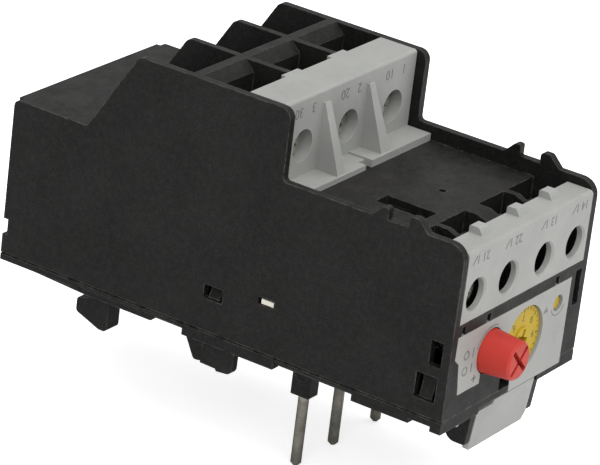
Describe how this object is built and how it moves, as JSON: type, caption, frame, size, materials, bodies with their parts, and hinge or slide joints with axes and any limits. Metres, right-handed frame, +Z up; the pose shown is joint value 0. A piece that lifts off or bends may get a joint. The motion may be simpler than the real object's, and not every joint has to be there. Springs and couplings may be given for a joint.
{
  "type": "thermal overload relay",
  "caption": "Plug-in thermal overload relay in a black moulded case with grey terminal covers, reset knob, current dial, snap hooks and contact pins.",
  "frame": {"origin": "axis of the middle contact pin where it leaves its collar", "axes": "+X across the poles to the right seen from the operating face, +Y from the operating face to the rear, +Z up, away from the contact pins"},
  "size_m": [0.045, 0.1015, 0.07],
  "materials": {
    "black_plastic": "moulded, fine grain",
    "grey_plastic": "moulded, fine grain",
    "red_plastic": "moulded, satin",
    "rocker_plastic": "moulded",
    "yellow_plastic": "moulded, satin",
    "natural_plastic": "moulded, unpigmented",
    "spring_steel": "drawn wire",
    "ground_steel": "ground",
    "tinned_pin": "tin plated",
    "bimetal": "rolled strip",
    "heater_alloy": "oxidised ribbon",
    "copper": "rolled strip",
    "zinc_steel": "zinc plated",
    "nickel_steel": "nickel plated",
    "silver": "satin"
  },
  "bodies": {
    "relay_body": {"housing": "black_plastic", "base_plate": "black_plastic", "bimetal_carrier": "black_plastic", "main_terminal_cover": "grey_plastic", "aux_terminal_cover": "grey_plastic", "front_label": "grey_plastic", "reset_spring": "spring_steel", "test_spring": "spring_steel", "latch_spring": "spring_steel", "adjusting_pin": "ground_steel", "latch_pin": "ground_steel", "compensating_pin": "ground_steel", "rocker_pin": "ground_steel", "contact_pin_1": "tinned_pin", "contact_pin_2": "tinned_pin", "contact_pin_3": "tinned_pin", "bimetal_1": "bimetal", "bimetal_2": "bimetal", "bimetal_3": "bimetal", "heater_1": "heater_alloy", "heater_2": "heater_alloy", "heater_3": "heater_alloy", "busbar_1": "copper", "busbar_2": "copper", "busbar_3": "copper", "nc_fixed_contact": "copper", "nc_moving_contact": "copper", "no_moving_contact": "copper", "no_fixed_contact": "copper", "main_clamps": "zinc_steel", "aux_clamps": "zinc_steel", "main_screws": "nickel_steel", "aux_screws": "nickel_steel", "contact_rivets": "silver"},
    "reset_button": {"reset_plunger": "natural_plastic", "reset_knob": "red_plastic"},
    "dial": {"current_dial": "yellow_plastic"},
    "adjuster": {"adjusting_lever": "natural_plastic"},
    "test_button": {"test_pin": "yellow_plastic"},
    "flap": {"latch_flap": "grey_plastic"},
    "trip_bar": {"trip_slide": "natural_plastic"},
    "differential_bar": {"differential_slide": "natural_plastic"},
    "compensator": {"compensating_lever": "bimetal"},
    "rocker": {"trip_rocker": "rocker_plastic"}
  },
  "joints": [
    {"name": "reset_press", "type": "slide", "parent": "relay_body", "child": "reset_button", "axis": [0, 1, 0], "range_m": [0, 0.0025], "stiffness_N_per_m": 600, "springref_m": -0.003, "deforming": ["reset_spring"]},
    {"name": "dial_turn", "type": "hinge", "parent": "relay_body", "child": "dial", "pos_m": [0.0028, -0.034, 0.0178], "axis": [0, 1, 0], "range_deg": [-135, 135]},
    {"name": "adjuster_tilt", "type": "hinge", "parent": "relay_body", "child": "adjuster", "pos_m": [0.0165, -0.024, 0.0135], "axis": [0, 1, 0], "range_deg": [-3.2, 3.2]},
    {"name": "test_press", "type": "slide", "parent": "relay_body", "child": "test_button", "axis": [0, 1, 0], "range_m": [0, 0.0012], "stiffness_N_per_m": 400, "springref_m": -0.002, "deforming": ["test_spring"]},
    {"name": "flap_tilt", "type": "hinge", "parent": "relay_body", "child": "flap", "pos_m": [0, -0.0305, 0.005], "axis": [1, 0, 0], "range_deg": [0, 14], "stiffness_Nm_per_rad": 0.02, "springref_deg": -17.19},
    {"name": "trip_bar_travel", "type": "slide", "parent": "relay_body", "child": "trip_bar", "axis": [1, 0, 0], "range_m": [0, 0.0016], "stiffness_N_per_m": 150, "springref_m": -0.001},
    {"name": "compensator_tilt", "type": "hinge", "parent": "relay_body", "child": "compensator", "pos_m": [0.01455, -0.014, 0.019], "axis": [0, 0, 1], "range_deg": [-8.2, 0]},
    {"name": "differential_travel", "type": "slide", "parent": "relay_body", "child": "differential_bar", "axis": [1, 0, 0], "range_m": [0, 0.0016], "stiffness_N_per_m": 150, "springref_m": -0.001},
    {"name": "rocker_trip", "type": "hinge", "parent": "relay_body", "child": "rocker", "pos_m": [-0.0015, -0.013, 0.019], "axis": [0, 0, 1], "range_deg": [0, 10]}
  ],
  "couplings": [
    {"joint": "adjuster_tilt", "follows": "dial_turn", "ratio": -0.02323},
    {"joint": "compensator_tilt", "follows": "trip_bar_travel", "rad_per_m": -87.7}
  ]
}
